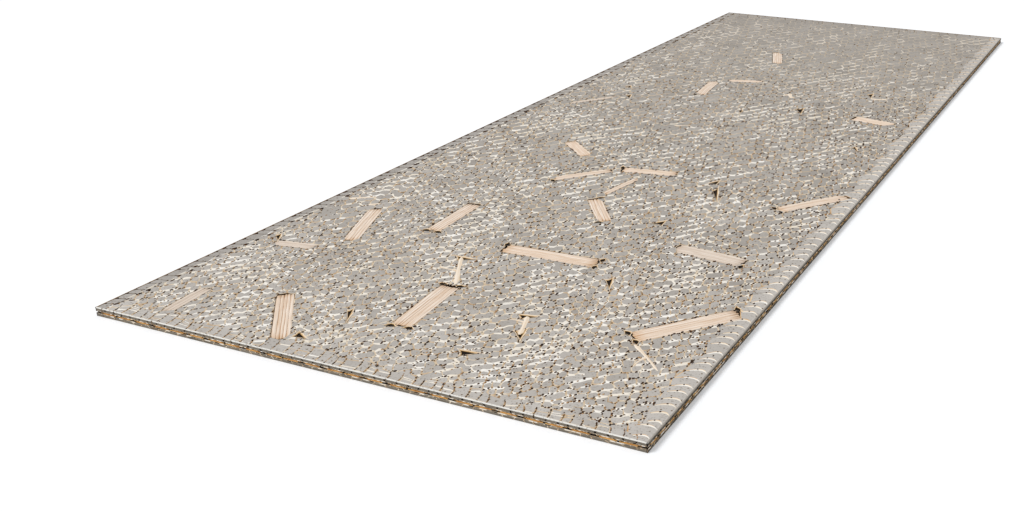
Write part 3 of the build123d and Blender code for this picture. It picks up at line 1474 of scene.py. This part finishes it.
@dataclass
class WoodWebs:
    """Thin curved webs of wood that line the crevices and run from them between the pebbles."""

    sheet: Sheet
    crown: float = 19.97
    depth: float = 0.9
    flare: float = 1.75
    border: float = 7.5
    hollow: float = 1.45
    narrow: float = 0.9
    floor: float = 16.9
    seed: int = 8

    def __post_init__(self) -> None:
        """Start an empty mesh with its grain map."""
        self.bm = bmesh.new()
        self.layer = self.bm.loops.layers.uv.new("grain")
        self.draw = random.Random(self.seed)

    def web(self, start: Vector, bend: Vector, end: Vector, first: float, last: float) -> None:
        """Shape one web as a low rounded strip along a curve.

        Args:
            start: Where it begins on the sheet.
            bend: The point that draws the curve to its side.
            end: Where it ends.
            first: Width at the start.
            last: Width at the end.
        """
        before = set(self.bm.verts)
        bmesh.ops.create_grid(self.bm, x_segments=9, y_segments=4, size=0.5)
        verts = [v for v in self.bm.verts if v not in before]
        places = {}
        for vert in verts:
            t, s = vert.co.x + 0.5, vert.co.y * 2
            middle = start * (1 - t) ** 2 + bend * 2 * t * (1 - t) + end * t * t
            ahead = ((bend - start) * (1 - t) + (end - bend) * t).normalized()
            ends = 2 * t - 1
            width = (first + (last - first) * t) * (1.1 + 0.5 * ends ** 2) * (1 - 0.75 * ends ** 14)
            width *= 1 + 0.2 * noise.noise(Vector((middle.x / 9, middle.y / 9, s)))
            out = middle + Vector((-ahead.y, ahead.x)) * s * width / 2
            height = self.crown - self.depth * (1 - math.sqrt(max(0.0, 1 - s * s)))
            places[vert] = (Vector((out.x, out.y, height)), t * (end - start).length, s * width / 2)
        for vert, (place, _, _) in places.items():
            vert.co = place
        for face in {f for v in verts for f in v.link_faces}:
            face.smooth = True
            for loop in face.loops:
                _, along, across = places[loop.vert]
                loop[self.layer].uv = (along * MM, across * MM)

    def tips(self, outline: list[Vector]) -> tuple[Vector, list[Vector]]:
        """Give the middle of a crevice and its three farthest corners."""
        middle = sum(outline, Vector((0, 0))) / len(outline)
        return middle, sorted(outline, key=lambda p: -(p - middle).length)[:3]

    def mouth(self, outline: list[Vector], steps: int = 3) -> list[Vector]:
        """Draw the flared outline that the wood makes round a crevice.

        Args:
            outline: The crevice's corners.
            steps: Pieces in each side.

        Returns:
            Corners of a star with hollow sides and drawn-out tips.
        """
        middle, tips = self.tips(outline)
        border = min(self.border, 0.4 * (tips[0] - middle).length)
        far = []
        for corner in outline:
            out = corner - middle
            far.append(middle + out * self.flare if corner in tips else corner + out.normalized() * border)
        points = []
        for start, end in zip(far, far[1:] + far[:1]):
            for step in range(steps):
                share = step / steps
                place = start.lerp(end, share)
                points.append(place + (middle - place) * 0.16 * math.sin(math.pi * share))
        return points

    def line_crevice(self, outline: list[Vector], steps: int = 3) -> None:
        """Shape the wood that flares from the floor of a crevice up to the cement round it.

        Args:
            outline: The crevice's corners.
            steps: Pieces in each side.
        """
        middle, tips = self.tips(outline)
        wide = [middle + (p - middle) * (self.narrow if p in tips else self.hollow) for p in outline]
        inner = [a.lerp(b, k / steps) for a, b in zip(wide, wide[1:] + wide[:1]) for k in range(steps)]
        mouth = self.mouth(outline, steps)
        loops = []
        for places, height in (
            (mouth, self.crown - 0.1),
            ([a.lerp(b, 0.45) for a, b in zip(mouth, inner)], self.crown - 0.4),
            (inner, self.crown - 1.2),
            ([p.lerp(middle, 0.15) for p in inner], self.floor),
        ):
            made = bmesh.ops.create_circle(self.bm, segments=len(places), radius=1.0)["verts"]
            for vert, place in zip(made, places):
                vert.co = (place.x, place.y, height)
            loops.append({e for v in made for e in v.link_edges})
        for number, (upper, lower) in enumerate(zip(loops, loops[1:])):
            made = bmesh.ops.bridge_loops(self.bm, edges=[*upper, *lower])
            for face in made["faces"]:
                face.smooth = True
                # Painted shade: the lowest ring, down to the floor, takes the near-black material
                face.material_index = number // 2
                for loop in face.loops:
                    loop[self.layer].uv = (loop.vert.co.x * MM, loop.vert.co.y * MM)

    def build(self, materials: list[bpy.types.Material]) -> None:
        """Finish the piece.

        Args:
            materials: The wood, and the near-black painted shade of the holes.
        """
        finish_piece(self.bm, "wood_webs", materials)


@dataclass
class Studio:
    """The pale floor, the soft light and the camera."""

    camera_place: Vector = field(default_factory=lambda: Vector((1.325, -3.035, 1.026)))
    azimuth: float = -21.88
    elevation: float = 23.69
    roll: float = 0.81
    focal_share: float = 1.0703
    shift: float = -0.22
    floor_size: float = 40.0

    def build(self) -> None:
        """Put up the floor, the light and the camera."""
        self.floor()
        self.light()
        self.camera()

    def floor(self) -> None:
        """Lay the floor."""
        bm = bmesh.new()
        bmesh.ops.create_grid(bm, x_segments=1, y_segments=1, size=self.floor_size / 2)
        mesh = bpy.data.meshes.new("floor")
        bm.to_mesh(mesh)
        bm.free()
        floor = bpy.data.objects.new("floor", mesh)
        bpy.context.scene.collection.objects.link(floor)
        tree = Tree("white_floor")
        nodes = tree.material.node_tree.nodes
        tree.shader.inputs["Base Color"].default_value = (0.86, 0.87, 0.89, 1.0)
        tree.shader.inputs["Roughness"].default_value = 0.9
        tree.shader.inputs["Specular IOR Level"].default_value = 0.1
        glow = tree.add("Emission", Color=(1.0, 1.0, 1.0, 1.0), Strength=0.22)
        add = nodes.new("ShaderNodeAddShader")
        rays = tree.add("LightPath")
        blend = nodes.new("ShaderNodeMixShader")
        seen = tree.add("Math", operation="MAXIMUM")
        more = tree.add("Math", operation="MAXIMUM")
        for source, target in (
            (rays.outputs["Is Camera Ray"], seen.inputs[0]),
            (rays.outputs["Is Glossy Ray"], seen.inputs[1]),
            (seen.outputs[0], more.inputs[0]),
            (rays.outputs["Is Transmission Ray"], more.inputs[1]),
            (tree.shader.outputs[0], add.inputs[0]),
            (glow.outputs[0], add.inputs[1]),
            (more.outputs[0], blend.inputs[0]),
            (tree.shader.outputs[0], blend.inputs[1]),
            (add.outputs[0], blend.inputs[2]),
            (blend.outputs[0], nodes["Material Output"].inputs["Surface"]),
        ):
            tree.join(source, target)
        mesh.materials.append(tree.material)

    def light(self) -> None:
        """Set an even sky and one broad soft lamp from the upper left."""
        world = bpy.data.worlds.new("sky")
        bpy.context.scene.world = world
        world.use_nodes = True
        nodes, links = world.node_tree.nodes, world.node_tree.links
        sky = nodes["Background"]
        sky.inputs["Color"].default_value = (0.93, 0.96, 1.0, 1.0)
        sky.inputs["Strength"].default_value = 0.5
        white = nodes.new("ShaderNodeBackground")
        white.inputs["Color"].default_value = (1.0, 1.0, 1.0, 1.0)
        white.inputs["Strength"].default_value = 1.0
        rays = nodes.new("ShaderNodeLightPath")
        blend = nodes.new("ShaderNodeMixShader")
        links.new(rays.outputs["Is Camera Ray"], blend.inputs[0])
        links.new(sky.outputs[0], blend.inputs[1])
        links.new(white.outputs[0], blend.inputs[2])
        links.new(blend.outputs[0], nodes["World Output"].inputs["Surface"])
        lamp = bpy.data.lights.new("key", "SUN")
        lamp.energy = 1.9
        lamp.angle = math.radians(22)
        lamp.color = (1.0, 0.985, 0.96)
        key = bpy.data.objects.new("key", lamp)
        bpy.context.scene.collection.objects.link(key)
        towards = Vector((0.50, 0.55, -1.0))
        key.rotation_euler = towards.to_track_quat("-Z", "Y").to_euler()

    def camera(self) -> None:
        """Place the camera at the picture's angle."""
        data = bpy.data.cameras.new("camera")
        camera = bpy.data.objects.new("camera", data)
        bpy.context.scene.collection.objects.link(camera)
        bpy.context.scene.camera = camera
        a, e = math.radians(self.azimuth), math.radians(self.elevation)
        ahead = Vector((math.sin(a) * math.cos(e), math.cos(a) * math.cos(e), -math.sin(e)))
        camera.location = self.camera_place
        camera.rotation_mode = "QUATERNION"
        turn = ahead.to_track_quat("-Z", "Y").to_matrix() @ Matrix.Rotation(math.radians(self.roll), 3, "Z")
        camera.rotation_quaternion = turn.to_quaternion()
        data.sensor_fit = "HORIZONTAL"
        data.lens = data.sensor_width * self.focal_share
        data.shift_x = self.shift
        data.clip_start = 0.05
        data.clip_end = 100.0


class Palette:
    """The board's materials. A list of four holds those of a relief piece, in the order of Skin."""

    def __init__(self) -> None:
        """Build each material once."""
        # The cream material is pale fibre and, on the top face, a painted highlight on the cells' raised rims;
        # its far colour dims that highlight towards the far end
        rim = MottledFinish("cream_rim", (253, 248, 240), (243, 231, 212), (216, 204, 188), 14.0).material()
        joint = MottledFinish(
            "tan_joint", (232, 218, 196), (196, 166, 128), (188, 176, 160), 70.0
        ).material()
        pit = MottledFinish("brown_pit", (104, 68, 36), (60, 37, 17), (142, 124, 100), 40.0).material()
        gold_joint = MottledFinish("gold_joint", (236, 206, 162), (206, 162, 112), scale=70.0).material()
        # Painted shade: the left border's dividing lines are dark grey-brown
        shade_joint = MottledFinish("shade_joint", (140, 132, 120), (112, 98, 80), scale=70.0).material()
        cement = CementFinish("cement", (205, 199, 192), (160, 153, 145)).material()
        shade_cement = CementFinish("shade_cement", (191, 185, 179), (164, 158, 151)).material()
        cut_cement = CementFinish("cut_cement", (150, 141, 128), (108, 100, 88)).material()
        # Painted shade: a darker cement for the cut edge on the right, the side away from the light
        deep_cement = CementFinish("deep_cement", (118, 108, 94), (84, 76, 64)).material()
        # Painted shade: near-black for the floors of crevices, the seam, and the cracks and voids of the cut
        # edges
        self.dark = MottledFinish("dark_inside", (44, 30, 18), (20, 13, 8)).material()
        self.face = [cement, rim, joint, pit]
        self.scales = [cement, rim, gold_joint, pit]
        self.shade = [shade_cement, rim, shade_joint, pit]
        self.cut = [cut_cement, rim, joint, self.dark]
        self.deep = [deep_cement, rim, gold_joint, self.dark]
        # Each wood's third colour is the painted shade of its grooves, torn ends and crevice walls
        self.wood = GrainFinish("pale_wood", (253, 238, 223), (230, 204, 179), (212, 172, 130)).material()
        self.dusty = GrainFinish("dusty_wood", (242, 228, 214), (220, 202, 184), (196, 172, 148)).material()
        self.web = GrainFinish(
            "web_wood", (252, 238, 220), (240, 216, 186), (198, 156, 92), crown=19.8, sink=0.8
        ).material()
        # Painted highlight: the front arris is near-white
        self.pale_arris = CementFinish("pale_arris", (255, 253, 248), (238, 234, 226)).material()
        self.plain_arris = CementFinish("plain_arris", (190, 184, 176), (164, 156, 146)).material()
        self.dull_arris = MottledFinish("dull_arris", (186, 160, 128), (128, 98, 66), scale=80.0).material()
        self.strand = MottledFinish("gold_strand", (240, 190, 114), (200, 142, 74), scale=60.0).material()
        self.brown = MottledFinish("brown_grain", (86, 52, 22), (48, 27, 9), (118, 94, 64), 40.0).material()
        self.tan = MottledFinish("tan_grain", (206, 168, 124), (160, 116, 72)).material()


@dataclass
class Board:
    """The whole sheet: each method builds one sub-assembly, and main calls them in order."""

    sheet: Sheet
    palette: Palette
    web_corner: Vector = field(init=False)
    chips: list[WoodChip] = field(default_factory=list)
    crevices: list[list[Vector]] = field(default_factory=list)
    holes: list[Hole] = field(default_factory=list)
    rows: dict[Side, BorderRow] = field(default_factory=dict)
    face_specks: list[Vector] = field(default_factory=list)

    def __post_init__(self) -> None:
        """Set the level of the pebbles and start the webs."""
        self.level = self.sheet.thickness - PEBBLE_DROP
        self.webs = WoodWebs(self.sheet)
        self.web_corner = Vector((-self.sheet.width / 2, -self.sheet.length / 2))

    def build_chips(self) -> None:
        """Build the bare wood chips."""
        self.chips = [WoodChip(name) for name in sorted(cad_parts) if name.startswith("wood_chip_")]
        for chip in self.chips:
            chip.build(self.palette.dusty if chip.node in DUSTY_CHIPS else self.palette.wood)

    def find_holes(self) -> None:
        """Find the crevices, the gaps at the chips' corners and the seats, which the pebbles leave open."""
        self.crevices = sunk_outlines(self.sheet, self.sheet.thickness - CREVICE_DEPTH)
        self.crevices += [
            chip.end_gap(end, hand) for chip in self.chips for end, hand in END_GAPS.get(chip.node, ())
        ]
        outlines = [chip.seat() for chip in self.chips] + [self.webs.mouth(c) for c in self.crevices]
        self.holes = [Hole.in_rows(self.sheet, outline) for outline in outlines]

    def build_borders(self) -> None:
        """Build the rows of cells along the four edges, which take their room from the face."""
        right = BorderRow(self.sheet, Side.RIGHT, 44.0, 0.25, lean=-9.0, arch=4.0, drop=5.0, lighten=0.8)
        right.relief = CellRelief(
            top=self.level, joint_width=1.2, lined=1.0, near_band=0.0, band=right.crescent,
            row_side=Vector((0.0, 1.0, 0.0)), facing=0.2, on_rim=True, ends_lined=False, pit_share=0.0,
        )
        left = BorderRow(self.sheet, Side.LEFT, 30.0, 0.25, lean=5.0, segments=3, lighten=0.2)
        left.relief = CellRelief(
            top=self.level, joint_width=1.0, lined=1.0, far_band=12.0, near_band=0.0, band=left.dash,
            row_side=Vector((1.0, 0.0, 0.0)), row_way=Vector((-1.0, 0.0, 0.0)), facing=0.7, on_rim=True,
            pit_share=0.0,
        )
        # Painted light: the front row is lightened and the back row darkened, as on the face
        front = BorderRow(
            self.sheet, Side.FRONT, 21.0, 0.4, lean=-9.0, arch=2.0, lighten=0.7, slope=0.3, crossed=0.2
        )
        front.relief = CellRelief(top=self.level, far_band=2.4, near_band=1.4, band=patchy, pit_share=0.6)
        back = BorderRow(self.sheet, Side.BACK, 9.0, 0.3, lean=12.0, lighten=-0.5)
        back.relief = CellRelief(top=self.level, pit_share=0.0)
        self.rows = {row.side: row for row in (right, left, front, back)}
        tilings = {side: row.tiling() for side, row in self.rows.items()}
        for side in (Side.FRONT, Side.BACK):
            for hole in right.holes() + left.holes():
                hole.cut(tilings[side])
        for tiling in tilings.values():
            for hole in self.holes:
                hole.cut(tiling)
        self.holes += [hole for row in self.rows.values() for hole in row.holes()]
        skins = {Side.LEFT: self.palette.shade, Side.RIGHT: self.palette.scales}
        for side, row in self.rows.items():
            row.build(f"border_{side.name.lower()}", tilings[side], skins.get(side, self.palette.face))

    def build_face(self) -> None:
        """Build the pebbled top face and keep the places of its specks."""
        face = PebbleFace(self.sheet, CellRelief(top=self.level))
        face.relief.band = face.band
        self.face_specks = face.build("cement_face", self.palette.face, self.holes)

    def build_cut_edges(self) -> None:
        """Build the broken layers of the four cut edges, above and below the open seam."""
        slab = CellRelief(
            joint_width=0.8, joint_skin=Skin.PIT, lined=1.0, shoulder_width=0.5, shoulder_depth=0.2,
            pit_share=0.0,
        )
        grain = CellRelief(
            joint_width=0.45, joint_depth=0.5, lined=0.9, shoulder_width=0.0, shoulder_depth=0.0,
            far_band=0.5, near_band=0.0, band=patchy, pit_share=0.0,
        )
        layers = (
            EdgeLayer(13.2, 18.9, 1, 1, slab),
            EdgeLayer(11.3, 13.2, 1, 4, grain, sway=0.3, mixed=True),
            EdgeLayer(5.4, 7.7, 1, 2, grain, sway=0.3, mixed=True),
            EdgeLayer(0.6, 5.4, 1, 1, grain, sway=0.3),
        )
        for side in PITCHES:
            # Painted shade: the right cut edge takes the darker cement
            skins = self.palette.deep if side is Side.RIGHT else self.palette.cut
            CutEdge(self.sheet, side, layers).build(f"cut_edge_{side.name.lower()}", skins)

    def build_webs(self) -> None:
        """Build the wood that lines the crevices and the loose webs between the pebbles."""
        for outline in self.crevices:
            self.webs.line_crevice(outline)
        for start, bend, end, first, last in LOOSE_WEBS:
            self.webs.web(*(self.web_corner + Vector(place) for place in (start, bend, end)), first, last)
        self.webs.build([self.palette.web, self.palette.dark])

    def build_underside(self) -> None:
        """Build the coarser pebbles of the underside, on which the sheet lies."""
        relief = CellRelief(top=self.sheet.thickness - 0.02, shoulder_width=0.0, shoulder_depth=0.0, seed=5)
        under = PebbleFace(self.sheet, relief, size=1.8, foot=18.5, strips=1, underneath=True, seed=9)
        under.build("cement_underside", self.palette.face, [])

    def build_trim(self) -> None:
        """Build the core, painted near-black as shade, and the blunt corners, and colour the strands in the
        seam.
        """
        Core(self.sheet).build(self.palette.dark)
        # Painted highlight: the front arris is near-white
        Arris(self.sheet, (Side.FRONT,)).build("arris_pale", self.palette.pale_arris)
        Arris(self.sheet, (Side.RIGHT,)).build("arris_plain", self.palette.plain_arris)
        Arris(self.sheet, (Side.BACK, Side.LEFT)).build("arris_dull", self.palette.dull_arris)
        for side in Side:
            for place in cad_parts[f"strands_{side.name.lower()}_edge"].material_slots:
                place.material = self.palette.strand

    def build_specks(self) -> None:
        """Lay the specks and grains of the borders, along the chips and in the face."""
        draw = random.Random(3)
        specks, grains = Specks(self.sheet, 1.3, 2.1), Specks(self.sheet, 1.3, 2.1)
        pinholes, flecks = Specks(self.sheet), Specks(self.sheet)
        beads = Specks(self.sheet, 3.4, 5.0, growth=0.5)
        for side, shares in SPECK_SHARES.items():
            row = self.rows[side]
            for number in range(1, row.count):
                for share in shares:
                    kind = grains if side is Side.FRONT and draw.random() < 0.45 else specks
                    if side is Side.LEFT and share in BEAD_SHARES:
                        kind = beads
                    kind.add(row.speck(number, clamp(share + draw.uniform(-0.06, 0.06), 0.0, 0.97)))
        for chip in self.chips:
            for place in chip.side_places(draw):
                specks.add(place)
        for place in self.face_specks:
            (flecks if draw.random() < 0.3 else pinholes).add(place)
        specks.build("border_specks", self.palette.brown)
        beads.build("border_beads", self.palette.brown)
        grains.build("border_grains", self.palette.tan)
        pinholes.build("face_specks", self.palette.brown)
        flecks.build("face_grains", self.palette.tan)


def main() -> None:
    """Build the board's pieces in order and light them."""
    logging.basicConfig(level=logging.INFO, format="%(name)s: %(message)s")
    bpy.context.scene.view_settings.view_transform = "Standard"
    board = Board(Sheet.from_frame(), Palette())
    board.build_chips()
    board.find_holes()
    log.info("%d chips, %d crevices and gaps", len(board.chips), len(board.crevices))
    board.build_borders()
    board.build_face()
    board.build_cut_edges()
    board.build_webs()
    board.build_underside()
    board.build_trim()
    board.build_specks()
    Studio().build()
    bpy.context.view_layer.update()


if __name__ == "__main__":
    main()
